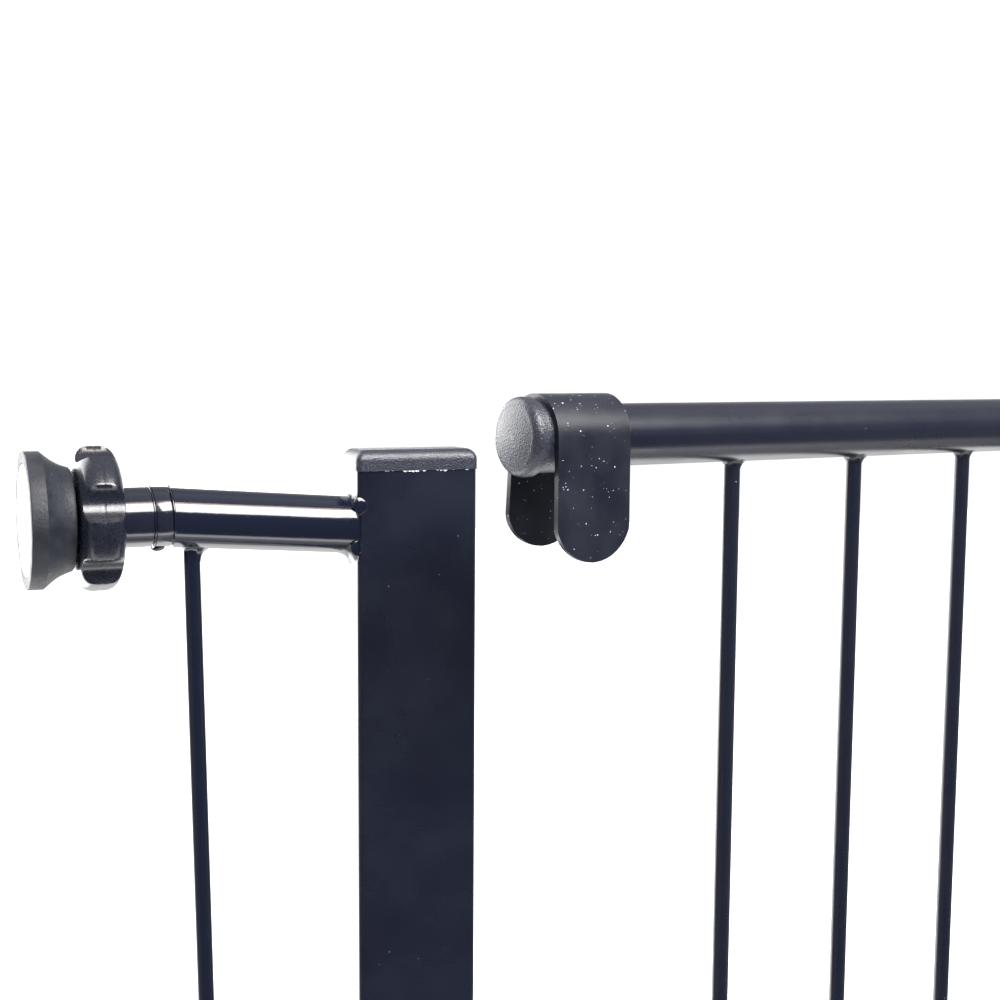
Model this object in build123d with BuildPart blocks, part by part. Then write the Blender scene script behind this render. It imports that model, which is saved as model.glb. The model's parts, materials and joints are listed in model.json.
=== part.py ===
from build123d import *
import os
from math import cos, radians, sin, tan

# Pressure-mounted walk-through gate with a lift-to-open door, in millimetres.
# Origin: centre of the gate's width on the floor. +X runs along the gate, -Y is the front, +Z is up.

# Frame
post_width = 42.1          # along the gate
post_depth = 17.0          # through the gate
post_wall = 1.5
post_edge_radius = 1.6
post_outer_x = 277.0       # outer face of each post
post_top_z = 728.2
sill_depth = 40.0
sill_height = 16.0
sill_wall = 1.5
plug_flange = 2.5
plug_insert = 12.0
cap_height = 6.9
cap_overhang = 0.4
cap_top_radius = 3.6
cap_corner_radius = 2.0
cap_spigot = 10.0
fit_gap = 0.1              # gap of a part pushed into a tube

# Tubes and bars
tube_radius = 9.5
tube_wall = 1.5
bar_radius = 2.7
stile_radius = 10.0

# Side stubs, which rise a little towards the wall
stub_angle = 4.35
stub_length = 59.75        # post face to tube end
upper_stub_z = 710.0       # axis height at the post
lower_stub_z = 60.0
side_bar_top = 53.3        # from the post's outer face
side_bar_foot = 42.9

# Pressure mount: distances along its axis, outwards from the end of the stub tube
mount_rise = 0.4           # the mechanism sits this far above the tube's centre
ring_length = 6.6
ring_radius = 9.7
ring_gap = 3.0
bush_neck_radius = 8.6
bush_radius = 9.5
bush_end = 15.6
bush_insert = 12.0
bush_insert_radius = 6.4
spindle_radius = 5.0
spindle_flat = 4.1         # axis to each of the two flats
spindle_inner = -28.0
spindle_outer = 38.6
wheel_start = 16.1
wheel_end = 30.1
wheel_radius = 22.5
wheel_lobes = 6
wheel_turn = 47.0          # a lobe stands this many degrees above the front
wheel_edge_blend = 2.1     # rounding where a scallop meets the rim
scallop_radius = 8.5
scallop_centre = 26.6
wheel_crown = 3.6
pad_start = 30.6
pad_neck_radius = 16.2
pad_flare_end = 39.2
pad_radius = 21.2
pad_end = 44.4
pad_flare_lean = 0.15      # slope of the flare where it leaves the neck
disc_radius = 17.4
disc_thickness = 1.2
running_gap = 0.06         # radial clearance of a turning or sliding fit

# Door, measured from its hinge axis
hinge_x = 212.3
rest_angle = 9.57          # the door stands this far open
top_rail_z = 742.3
bottom_rail_z = 60.0
rail_length = 467.0
bar_count = 7
bar_pitch = 55.37
stile_foot_z = 43.0
stile_top_z = 754.0
saddle_centre = 451.9
saddle_width = 26.0
saddle_sheet = 1.9
saddle_inner = 10.7
saddle_leg = 36.5          # rail axis to the tip of the front leg
lower_saddle_leg = 28.0
rear_leg_step = 2.2        # the rear leg is this much shorter
saddle_tip_radius = 13.6
end_cap_rim = 467.2
end_cap_straight = 469.3
end_cap_edge = 2.7         # rounding between its side and its face
end_cap_dome = 0.9         # how far the face bulges
end_cap_radius = 11.7
end_cap_sleeve = 441.0

# Hinge
lift = 38.0
eye_z = 660.0
eye_height = 20.0
eye_bore = 12.06
eye_radius = 16.0
hinge_bush_radius = 12.0
hinge_bush_flange = 15.0
hinge_bush_flange_height = 2.0
collar_radius = 15.0
collar_height = 12.0
collar_gap = 0.3
set_screw_radius = 2.5
set_screw_socket = 1.4
set_screw_sink = 0.5
pin_radius = 6.0
pin_plate_z = 30.0
pin_plate_height = 8.0
pin_plate_radius = 13.0
pin_flange_radius = 10.0
pin_flange_height = 2.0
pin_top_z = 102.0
edge_chamfer = 1.0
stile_plug_height = 3.0
stile_plug_edge = 2.5
foot_bush_flange_z = 40.0
foot_bush_top_z = 73.0

# Catch on the sill that the lower saddle drops over
keeper_length = 36.0
keeper_height = 28.0
keeper_corner = 6.0

os.makedirs("parts", exist_ok=True)
door = Plane(
    origin=(hinge_x, 0, 0),
    x_dir=(-cos(radians(rest_angle)), -sin(radians(rest_angle)), 0),
    z_dir=(0, 0, 1),
)


def save(builder, label):
    builder.part.label = label
    export_step(builder.part, f"parts/{label}.step")


def across(u, z):
    """Plane square to the door's length, x to the front and y up."""
    return Plane(origin=door.from_local_coords((u, 0, z)), x_dir=door.y_dir, z_dir=door.x_dir)


def along(u, z):
    """Plane through the door's length and height, seen from the front."""
    return Plane(origin=door.from_local_coords((u, 0, z)), x_dir=door.x_dir, z_dir=-door.y_dir)


def upright(u, z):
    """Level plane on the door at distance u from the hinge axis."""
    return Plane(origin=door.from_local_coords((u, 0, z)), x_dir=door.x_dir, z_dir=(0, 0, 1))


def make_post(side, name):
    centre_x = side * (post_outer_x - post_width / 2)
    with BuildPart() as post:
        with BuildSketch(Plane((centre_x, 0, sill_height))):
            RectangleRounded(post_width, post_depth, post_edge_radius)
            inner = (post_width - 2 * post_wall, post_depth - 2 * post_wall)
            Rectangle(*inner, mode=Mode.SUBTRACT)
        extrude(amount=post_top_z - sill_height)
    save(post, f"{name}_post")
    with BuildPart() as cap:
        with BuildSketch(Plane((centre_x, 0, post_top_z))):
            RectangleRounded(post_width + 2 * cap_overhang, post_depth + 2 * cap_overhang, cap_corner_radius)
        extrude(amount=cap_height)
        fillet(cap.faces().sort_by(Axis.Z)[-1].edges(), radius=cap_top_radius)
        with BuildSketch(Plane((centre_x, 0, post_top_z))):
            Rectangle(inner[0] - 2 * fit_gap, inner[1] - 2 * fit_gap)
        extrude(amount=-cap_spigot)
    save(cap, f"{name}_post_cap")


def make_sill():
    end = Plane(origin=(-post_outer_x, 0, sill_height / 2), x_dir=(0, -1, 0), z_dir=(1, 0, 0))
    hollow = (sill_depth - 2 * sill_wall, sill_height - 2 * sill_wall)
    with BuildPart() as sill:
        with BuildSketch(end):
            RectangleRounded(sill_depth, sill_height, post_edge_radius)
            Rectangle(*hollow, mode=Mode.SUBTRACT)
        extrude(amount=2 * post_outer_x)
    save(sill, "sill_rail")
    with BuildPart() as plugs:
        with BuildSketch(end):
            RectangleRounded(sill_depth, sill_height, post_edge_radius)
        extrude(amount=-plug_flange)
        with BuildSketch(end):
            Rectangle(hollow[0] - 2 * fit_gap, hollow[1] - 2 * fit_gap)
        extrude(amount=plug_insert)
        mirror(about=Plane.YZ)
    save(plugs, "sill_end_plugs")


def stub_plane(side, z):
    """Plane square to a stub's axis, where the axis meets the post's outer face."""
    rise = radians(stub_angle)
    return Plane(origin=(side * post_outer_x, 0, z), x_dir=(0, -1, 0), z_dir=(side * cos(rise), 0, sin(rise)))


def mount_plane(side, z):
    """Plane square to a pressure mount's level axis, at the end of the stub tube."""
    level = z + stub_length * tan(radians(stub_angle)) + mount_rise
    return Plane(
        origin=(side * (post_outer_x + stub_length), 0, level), x_dir=(0, -1, 0), z_dir=(side, 0, 0)
    )


def make_stub(side, z, name):
    base = stub_plane(side, z)
    run = 2 * stub_length
    with BuildPart() as stub:
        with BuildSketch(base.offset(-tube_radius)):
            Circle(tube_radius)
            Circle(tube_radius - tube_wall, mode=Mode.SUBTRACT)
        extrude(amount=run)
        split(bisect_by=mount_plane(side, z), keep=Keep.BOTTOM)
        split(bisect_by=Plane(origin=(side * post_outer_x, 0, 0), z_dir=(side, 0, 0)), keep=Keep.TOP)
    save(stub, f"{name}_stub_tube")


def make_side_bar(side, name):
    slope = tan(radians(stub_angle))
    top = Vector(side * (post_outer_x + side_bar_top), 0, upper_stub_z + side_bar_top * slope)
    foot = Vector(side * (post_outer_x + side_bar_foot), 0, lower_stub_z + side_bar_foot * slope)
    rise = top - foot
    with BuildPart() as bar:
        with BuildSketch(Plane(origin=foot, x_dir=(0, -1, 0), z_dir=rise)):
            Circle(bar_radius)
        extrude(amount=rise.length)
        for z in (upper_stub_z, lower_stub_z):
            with BuildSketch(stub_plane(side, z)):
                Circle(tube_radius)
            extrude(amount=2 * stub_length, mode=Mode.SUBTRACT)
    save(bar, f"{name}_side_bar")


def make_end_bush(base, name):
    with BuildPart() as bush:
        for start, end, radius in (
            (-bush_insert, 0, bush_insert_radius),
            (0, ring_length, bush_neck_radius),
            (ring_length, bush_end, bush_radius),
        ):
            with BuildSketch(base.offset(start)):
                Circle(radius)
            extrude(amount=end - start)
        with BuildSketch(base.offset(-bush_insert)):
            Circle(spindle_radius + running_gap)
            flat = 2 * (spindle_flat + running_gap)
            Rectangle(flat, 2 * tube_radius, mode=Mode.INTERSECT)
        extrude(amount=bush_insert + bush_end, mode=Mode.SUBTRACT)
    save(bush, f"{name}_end_bush")


def make_collar_ring(base, name):
    underside = -ring_radius * base.y_dir.Z
    with BuildPart() as ring:
        with BuildSketch(base):
            Circle(ring_radius)
            Circle(bush_neck_radius, mode=Mode.SUBTRACT)
            with Locations((0, underside)):
                Rectangle(ring_gap, ring_radius, mode=Mode.SUBTRACT)
        extrude(amount=ring_length)
    save(ring, f"{name}_collar_ring")


def make_spindle(base, name):
    with BuildPart() as spindle:
        with BuildSketch(base.offset(spindle_inner)):
            Circle(spindle_radius)
            Rectangle(2 * spindle_flat, 2 * tube_radius, mode=Mode.INTERSECT)
        extrude(amount=spindle_outer - spindle_inner)
    save(spindle, f"{name}_spindle")


def make_handwheel(base, name):
    half = (wheel_end - wheel_start) / 2
    middle = base.offset(wheel_start + half)
    profile = Plane(origin=middle.origin, x_dir=middle.x_dir, z_dir=-middle.y_dir)
    first_scallop = wheel_turn + 180 / wheel_lobes
    with BuildPart() as wheel:
        with BuildSketch(middle):
            Circle(wheel_radius)
            with PolarLocations(scallop_centre, wheel_lobes, start_angle=first_scallop):
                Circle(scallop_radius, mode=Mode.SUBTRACT)
            fillet(vertices(), radius=wheel_edge_blend)
            Circle(spindle_radius + running_gap, mode=Mode.SUBTRACT)
        extrude(amount=half, both=True)
        with BuildSketch(profile):
            with BuildLine():
                Polyline((0, half), (0, -half), (wheel_radius - wheel_crown, -half))
                ThreePointArc(
                    (wheel_radius - wheel_crown, -half), (wheel_radius, 0), (wheel_radius - wheel_crown, half)
                )
                Line((wheel_radius - wheel_crown, half), (0, half))
            make_face()
        revolve(axis=Axis(middle.origin, middle.z_dir), mode=Mode.INTERSECT)
    save(wheel, f"{name}_handwheel")


def make_pad(base, name):
    profile = Plane(origin=base.origin, x_dir=base.x_dir, z_dir=-base.y_dir)
    floor = pad_end - disc_thickness
    with BuildPart() as pad:
        with BuildSketch(profile):
            with BuildLine():
                Polyline((0, pad_start), (pad_neck_radius, pad_start))
                TangentArc(
                    (pad_neck_radius, pad_start), (pad_radius, pad_flare_end), tangent=(pad_flare_lean, 1)
                )
                Polyline(
                    (pad_radius, pad_flare_end),
                    (pad_radius, pad_end),
                    (disc_radius + fit_gap, pad_end),
                    (disc_radius + fit_gap, floor),
                    (0, floor),
                    (0, pad_start),
                )
            make_face()
        revolve(axis=Axis(base.origin, base.z_dir))
        with BuildSketch(base.offset(pad_start)):
            Circle(spindle_radius)
            Rectangle(2 * spindle_flat, 2 * tube_radius, mode=Mode.INTERSECT)
        extrude(amount=spindle_outer - pad_start, mode=Mode.SUBTRACT)
    save(pad, f"{name}_wall_pad")
    with BuildPart() as disc:
        with BuildSketch(base.offset(floor)):
            Circle(disc_radius)
        extrude(amount=disc_thickness)
    save(disc, f"{name}_pad_disc")


def make_upper_hinge():
    post_face = post_outer_x - post_width
    with BuildPart() as bracket:
        with BuildSketch(Plane((hinge_x, 0, eye_z))):
            Circle(eye_radius)
            with Locations(((post_face - hinge_x) / 2, 0)):
                Rectangle(post_face - hinge_x, post_depth)
            Circle(eye_bore, mode=Mode.SUBTRACT)
        extrude(amount=eye_height)
    save(bracket, "upper_hinge_bracket")
    with BuildPart() as bush:
        with BuildSketch(Plane((hinge_x, 0, eye_z))):
            Circle(hinge_bush_radius)
        extrude(amount=eye_height)
        with BuildSketch(Plane((hinge_x, 0, eye_z + eye_height))):
            Circle(hinge_bush_flange)
        extrude(amount=hinge_bush_flange_height)
        with BuildSketch(Plane((hinge_x, 0, eye_z))):
            Circle(stile_radius + running_gap)
        extrude(amount=eye_height + hinge_bush_flange_height, mode=Mode.SUBTRACT)
    save(bush, "upper_hinge_bush")


def make_lower_hinge():
    post_face = post_outer_x - post_width
    plate_top = pin_plate_z + pin_plate_height
    with BuildPart() as bracket:
        with BuildSketch(Plane((hinge_x, 0, pin_plate_z))):
            Circle(pin_plate_radius)
            with Locations(((post_face - hinge_x) / 2, 0)):
                Rectangle(post_face - hinge_x, post_depth)
            Circle(pin_radius + running_gap, mode=Mode.SUBTRACT)
        extrude(amount=pin_plate_height)
    save(bracket, "lower_hinge_bracket")
    with BuildPart() as pin:
        with BuildSketch(Plane((hinge_x, 0, pin_plate_z))):
            Circle(pin_radius)
        extrude(amount=pin_top_z - pin_plate_z)
        chamfer(pin.edges().sort_by(Axis.Z)[-1], length=edge_chamfer)
        with BuildSketch(Plane((hinge_x, 0, plate_top))):
            Circle(pin_flange_radius)
        extrude(amount=pin_flange_height)
    save(pin, "lower_hinge_pin")


def make_keeper():
    start = -(post_outer_x - post_width)
    with BuildPart() as keeper:
        with BuildSketch(Plane((start + keeper_length / 2, 0, sill_height))):
            Rectangle(keeper_length, post_depth)
        extrude(amount=keeper_height)
        corner = keeper.edges().filter_by(Axis.Y).group_by(Axis.Z)[-1].sort_by(Axis.X)[-1]
        fillet(corner, radius=keeper_corner)
    save(keeper, "sill_keeper")


def make_rail(z, name):
    with BuildPart() as rail:
        with BuildSketch(across(0, z)):
            Circle(tube_radius)
            Circle(tube_radius - tube_wall, mode=Mode.SUBTRACT)
        extrude(amount=rail_length)
        with BuildSketch(door.offset(z - 2 * tube_radius)):
            Circle(stile_radius)
        extrude(amount=4 * tube_radius, mode=Mode.SUBTRACT)
    save(rail, f"door_{name}_rail")


def make_stile():
    with BuildPart() as stile:
        with BuildSketch(door.offset(stile_foot_z)):
            Circle(stile_radius)
            Circle(stile_radius - tube_wall, mode=Mode.SUBTRACT)
        extrude(amount=stile_top_z - stile_foot_z)
    save(stile, "door_hinge_stile")
    inner = stile_radius - tube_wall
    with BuildPart() as plug:
        with BuildSketch(door.offset(stile_top_z)):
            Circle(stile_radius)
        extrude(amount=stile_plug_height)
        fillet(plug.edges().sort_by(Axis.Z)[-1], radius=stile_plug_edge)
        with BuildSketch(door.offset(stile_top_z)):
            Circle(inner - fit_gap)
        extrude(amount=-plug_insert)
    save(plug, "stile_top_plug")
    with BuildPart() as bush:
        with BuildSketch(door.offset(foot_bush_flange_z)):
            Circle(stile_radius)
        extrude(amount=stile_foot_z - foot_bush_flange_z)
        with BuildSketch(door.offset(stile_foot_z)):
            Circle(inner)
        extrude(amount=foot_bush_top_z - stile_foot_z)
        with BuildSketch(door.offset(foot_bush_flange_z)):
            Circle(pin_radius + running_gap)
        extrude(amount=foot_bush_top_z - foot_bush_flange_z, mode=Mode.SUBTRACT)
    save(bush, "stile_foot_bush")


def make_stop_collar():
    base_z = eye_z - lift - collar_gap - collar_height
    screw = across(0, base_z + collar_height / 2)
    screw_end = collar_radius - set_screw_sink
    with BuildPart() as collar:
        with BuildSketch(door.offset(base_z)):
            Circle(collar_radius)
            Circle(stile_radius, mode=Mode.SUBTRACT)
        extrude(amount=collar_height)
        chamfer(collar.edges().filter_by(GeomType.CIRCLE).group_by(SortBy.RADIUS)[-1], length=edge_chamfer)
        with BuildSketch(screw):
            Circle(set_screw_radius)
        extrude(amount=collar_radius, mode=Mode.SUBTRACT)
    save(collar, "lift_stop_collar")
    with BuildPart() as grub:
        with BuildSketch(screw.offset(stile_radius)):
            Circle(set_screw_radius)
        extrude(amount=screw_end - stile_radius)
        with BuildSketch(screw.offset(screw_end)):
            RegularPolygon(radius=set_screw_socket, side_count=6)
        extrude(amount=-set_screw_radius, mode=Mode.SUBTRACT)
    save(grub, "collar_set_screw")


def make_door_bar(index):
    u = bar_pitch * (index + 1)
    with BuildPart() as bar:
        with BuildSketch(upright(u, bottom_rail_z)):
            Circle(bar_radius)
        extrude(amount=top_rail_z - bottom_rail_z)
        for z in (bottom_rail_z, top_rail_z):
            with BuildSketch(across(u - bar_pitch / 2, z)):
                Circle(tube_radius)
            extrude(amount=bar_pitch, mode=Mode.SUBTRACT)
    save(bar, f"door_bar_{index + 1}")


def make_end_cap(z, name):
    profile = along(0, z)
    face_start = end_cap_straight + end_cap_edge
    face_radius = end_cap_radius - end_cap_edge
    tip = face_start + end_cap_dome
    dome_radius = (face_radius**2 + end_cap_dome**2) / (2 * end_cap_dome)
    bulge = tip - dome_radius + (dome_radius**2 - (face_radius / 2) ** 2) ** 0.5
    with BuildPart() as cap:
        with BuildSketch(profile):
            with BuildLine():
                Polyline(
                    (tip, 0),
                    (rail_length, 0),
                    (rail_length, tube_radius),
                    (end_cap_sleeve, tube_radius),
                    (end_cap_sleeve, saddle_inner),
                    (end_cap_rim, saddle_inner),
                    (end_cap_rim, end_cap_radius),
                    (end_cap_straight, end_cap_radius),
                )
                EllipticalCenterArc(
                    (end_cap_straight, face_radius), end_cap_edge, end_cap_edge, 0, arc_size=90
                )
                ThreePointArc((face_start, face_radius), (bulge, face_radius / 2), (tip, 0))
            make_face()
        revolve(axis=Axis(profile.origin, profile.x_dir))
    save(cap, f"{name}_rail_end_cap")


def make_saddle(z, leg, name):
    outer = saddle_inner + saddle_sheet
    half = saddle_width / 2
    shoulder = leg - saddle_tip_radius + (saddle_tip_radius**2 - half**2) ** 0.5
    with BuildPart() as saddle:
        with BuildSketch(across(saddle_centre - half, z)):
            Circle(outer)
            with Locations((0, -leg / 2)):
                Rectangle(2 * outer, leg)
            Circle(saddle_inner, mode=Mode.SUBTRACT)
            with Locations((0, -leg / 2)):
                Rectangle(2 * saddle_inner, leg, mode=Mode.SUBTRACT)
        extrude(amount=saddle_width)
        with BuildSketch(along(saddle_centre, z)):
            with BuildLine():
                Polyline((-half, -shoulder), (-half, outer), (half, outer), (half, -shoulder))
                ThreePointArc((half, -shoulder), (0, -leg), (-half, -shoulder))
            make_face()
        extrude(amount=2 * outer, both=True, mode=Mode.INTERSECT)
        with BuildSketch(along(saddle_centre, z)):
            with BuildLine():
                rear = shoulder - rear_leg_step
                Polyline((half, -rear), (half, -leg), (-half, -leg), (-half, -rear))
                ThreePointArc((-half, -rear), (0, rear_leg_step - leg), (half, -rear))
            make_face()
        extrude(amount=-2 * outer, mode=Mode.SUBTRACT)
    save(saddle, f"{name}_saddle")


for side, side_name in ((-1, "left"), (1, "right")):
    make_post(side, side_name)
    make_side_bar(side, side_name)
    for height, height_name in ((upper_stub_z, "upper"), (lower_stub_z, "lower")):
        corner_name = f"{height_name}_{side_name}"
        mount = mount_plane(side, height)
        make_stub(side, height, corner_name)
        make_end_bush(mount, corner_name)
        make_collar_ring(mount, corner_name)
        make_spindle(mount, corner_name)
        make_handwheel(mount, corner_name)
        make_pad(mount, corner_name)

make_sill()
make_keeper()
make_upper_hinge()
make_lower_hinge()
make_stile()
make_stop_collar()
for index in range(bar_count):
    make_door_bar(index)
for rail_z, leg, rail_name, saddle_name in (
    (top_rail_z, saddle_leg, "top", "latch"),
    (bottom_rail_z, lower_saddle_leg, "bottom", "lower"),
):
    make_rail(rail_z, rail_name)
    make_end_cap(rail_z, rail_name)
    make_saddle(rail_z, leg, saddle_name)
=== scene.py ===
import bmesh
import bpy
import json
from math import atan2, ceil, cos, pi, radians, sin, sqrt
from mathutils import Euler, Matrix, Vector, noise


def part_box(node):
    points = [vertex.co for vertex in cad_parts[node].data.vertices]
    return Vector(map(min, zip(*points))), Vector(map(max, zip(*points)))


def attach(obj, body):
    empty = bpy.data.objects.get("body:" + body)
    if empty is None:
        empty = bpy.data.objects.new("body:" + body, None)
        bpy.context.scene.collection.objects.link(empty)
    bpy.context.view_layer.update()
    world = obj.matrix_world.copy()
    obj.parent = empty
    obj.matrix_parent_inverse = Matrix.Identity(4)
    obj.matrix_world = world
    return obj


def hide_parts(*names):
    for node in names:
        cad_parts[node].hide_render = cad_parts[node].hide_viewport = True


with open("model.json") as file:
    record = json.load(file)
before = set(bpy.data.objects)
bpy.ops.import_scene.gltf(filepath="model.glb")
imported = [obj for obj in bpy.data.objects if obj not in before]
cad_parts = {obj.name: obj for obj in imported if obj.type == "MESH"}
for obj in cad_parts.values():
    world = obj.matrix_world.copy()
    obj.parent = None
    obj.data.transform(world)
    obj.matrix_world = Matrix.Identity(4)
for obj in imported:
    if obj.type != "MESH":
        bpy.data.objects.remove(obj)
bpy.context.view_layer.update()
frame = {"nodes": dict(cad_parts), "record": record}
nodes = frame["nodes"]
bodies = frame["record"]["behaviour"]["bodies"]
corners = ("upper_left", "upper_right", "lower_left", "lower_right")
mm = 0.001


def hexColour(text):
    # sRGB hex to linear colour
    values = [int(text[i:i + 2], 16) / 255 for i in (1, 3, 5)]
    return [v / 12.92 if v <= 0.04045 else ((v + 0.055) / 1.055) ** 2.4 for v in values] + [1.0]


def addNode(tree, kind, inputs=None, out=0, **settings):
    # adds a node, sets it up, fills or links its inputs, and gives back one of its outputs
    node = tree.nodes.new("ShaderNode" + kind)
    for key, value in settings.items():
        setattr(node, key, value)
    for key, value in (inputs or {}).items():
        if isinstance(value, bpy.types.NodeSocket):
            tree.links.new(value, node.inputs[key])
        else:
            node.inputs[key].default_value = value
    return node.outputs[out] if len(node.outputs) else None


def bodyOf(nodeName):
    return next(body for body, members in bodies.items() if nodeName in members)


def makePiece(name, verts, faces, material, like, slotName, smooth=True):
    # like is the CAD node whose body the piece rides on
    mesh = bpy.data.meshes.new(name)
    mesh.from_pydata([tuple(v) for v in verts], [], faces)
    mesh.validate()
    mesh.update()
    mesh.polygons.foreach_set("use_smooth", [smooth] * len(mesh.polygons))
    piece = bpy.data.objects.new(name, mesh)
    bpy.context.scene.collection.objects.link(piece)
    mesh.materials.append(material)
    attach(piece, bodyOf(like))
    return piece


def gridFaces(rows, columns, closeRows=False):
    # quads over a grid that wraps round in its columns
    faces = []
    for i in range(rows if closeRows else rows - 1):
        for j in range(columns):
            a, b = i * columns + j, i * columns + (j + 1) % columns
            c, d = ((i + 1) % rows) * columns + (j + 1) % columns, ((i + 1) % rows) * columns + j
            faces.append((a, b, c, d))
    return faces


def facesOut(piece, sharpAbove=38):
    # turns every face to point away from the solid, and creases edges sharper than an angle
    mesh = bmesh.new()
    mesh.from_mesh(piece.data)
    bmesh.ops.remove_doubles(mesh, verts=mesh.verts, dist=1e-7)
    bmesh.ops.recalc_face_normals(mesh, faces=mesh.faces)
    mesh.to_mesh(piece.data)
    mesh.free()
    piece.data.set_sharp_from_angle(angle=radians(sharpAbove))


def bevelEdges(piece, width, segments=2, angle=35):
    modifier = piece.modifiers.new("edge", "BEVEL")
    modifier.width, modifier.segments = width, segments
    modifier.limit_method, modifier.angle_limit = "ANGLE", radians(angle)
    modifier.harden_normals = True


def startMaterial(name, colour, roughness, ior=1.5, metallic=0.0):
    material = bpy.data.materials.new(name)
    material.use_nodes = True
    tree = material.node_tree
    shader = tree.nodes["Principled BSDF"].inputs
    shader["Base Color"].default_value = hexColour(colour)
    shader["Roughness"].default_value = roughness
    shader["Metallic"].default_value = metallic
    if not metallic:
        shader["IOR"].default_value = ior
    place = addNode(tree, "TexCoord", out="Object")
    return material, tree, shader, place


def sized(place, width):
    # a pattern whose blotches, cells or dimples are this wide, in metres
    return {"Vector": place, "Scale": 1 / width}


def between(value, low, high, toLow=0.0, toHigh=1.0):
    return {"Value": value, "From Min": low, "From Max": high, "To Min": toLow, "To Max": toHigh}


def twoTones(share, first, second):
    # first and second are hex colours or sockets
    tones = [hexColour(tone) if isinstance(tone, str) else tone for tone in (first, second)]
    return {0: share, 6: tones[0], 7: tones[1]}


def dustMask(tree, place, cell, speck, share):
    # sparse round specks: one may lie in each cell, and share of the cells have one
    distance = addNode(tree, "TexVoronoi", sized(place, cell), "Distance")
    pick = addNode(tree, "SeparateColor", {"Color": distance.node.outputs["Color"]}).node.outputs
    chosen = addNode(tree, "MapRange", between(pick[0], 1 - share, 1 - share + 0.01))
    size = addNode(tree, "MapRange", between(pick[1], 0, 1, 0.35 * speck / cell, speck / cell))
    near = addNode(tree, "Math", {0: distance, 1: size}, operation="LESS_THAN")
    return addNode(tree, "Math", {0: chosen, 1: near}, operation="MULTIPLY")


# Powder coat sprayed on tube and baked: a smooth glossy black skin with a very slight orange peel
def glossPowderCoat():
    # base colour: a black coat with a painted navy tint, which stands in for a bluish haze of stray light
    # over the dark parts; the specks' first tone repeats it
    material, tree, shader, place = startMaterial("gloss powder-coated steel", "#0B0F1C", 0.10, 1.52)
    peel = addNode(tree, "TexNoise", {**sized(place, 5.0 * mm), "Detail": 1.0})   # wide, shallow dimples
    fine = addNode(tree, "TexNoise", sized(place, 0.9 * mm))
    tree.links.new(addNode(tree, "MapRange", between(fine, 0.35, 0.65, 0.07, 0.13)), shader["Roughness"])
    tree.links.new(addNode(tree, "Bump", {"Height": peel, "Distance": 0.035 * mm}), shader["Normal"])
    dust = dustMask(tree, place, 5 * mm, 0.22 * mm, 0.10)
    dusty = twoTones(dust, "#0B0F1C", "#8D92A6")
    tree.links.new(addNode(tree, "Mix", dusty, 2, data_type="RGBA"), shader["Base Color"])
    return material


# The same coat on the flat post: the broad faces carry fine specks and faint rub marks
def postPowderCoat():
    # base colour and both rub-mark tones: black with a painted navy tint, standing in for a bluish haze of
    # stray light
    material, tree, shader, place = startMaterial("powder-coated steel post", "#0B0F1C", 0.26, 1.5)
    cloud = addNode(tree, "TexNoise", {**sized(place, 26 * mm), "Detail": 3.0})   # rub marks
    fine = addNode(tree, "TexNoise", {**sized(place, 0.8 * mm), "Detail": 3.0})
    tree.links.new(addNode(tree, "MapRange", between(cloud, 0.3, 0.7, 0.20, 0.32)), shader["Roughness"])
    tree.links.new(addNode(tree, "Bump", {"Height": fine, "Distance": 0.012 * mm}), shader["Normal"])
    dust = dustMask(tree, place, 3.6 * mm, 0.26 * mm, 0.16)
    rubbed = addNode(tree, "MapRange", between(cloud, 0.35, 0.7))
    tone = addNode(tree, "Mix", twoTones(rubbed, "#090C18", "#0D111E"), 2, data_type="RGBA")
    dusty = twoTones(dust, tone, "#5B607A")
    tree.links.new(addNode(tree, "Mix", dusty, 2, data_type="RGBA"), shader["Base Color"])
    return material


# Satin powder coat on the door's tubes: a soft, broad sheen with fine tooth
def satinPowderCoat():
    # base colour: black with a painted navy tint, standing in for a bluish haze of stray light; the specks'
    # first tone repeats it
    material, tree, shader, place = startMaterial("satin powder-coated steel", "#0C0F1C", 0.30, 1.46)
    peel = addNode(tree, "TexNoise", sized(place, 2.4 * mm))
    tooth = addNode(tree, "TexNoise", sized(place, 0.35 * mm))
    cloud = addNode(tree, "TexNoise", {**sized(place, 18 * mm), "Detail": 3.0})
    tree.links.new(addNode(tree, "MapRange", between(cloud, 0.3, 0.7, 0.25, 0.34)), shader["Roughness"])
    dimples = addNode(tree, "Bump", {"Height": peel, "Distance": 0.03 * mm})
    tree.links.new(addNode(tree, "Bump", {"Height": tooth, "Distance": 0.010 * mm, "Normal": dimples}),
                   shader["Normal"])
    dust = dustMask(tree, place, 3.2 * mm, 0.2 * mm, 0.12)
    dusty = twoTones(dust, "#0C0F1C", "#7C8098")
    tree.links.new(addNode(tree, "Mix", dusty, 2, data_type="RGBA"), shader["Base Color"])
    return material


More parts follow.
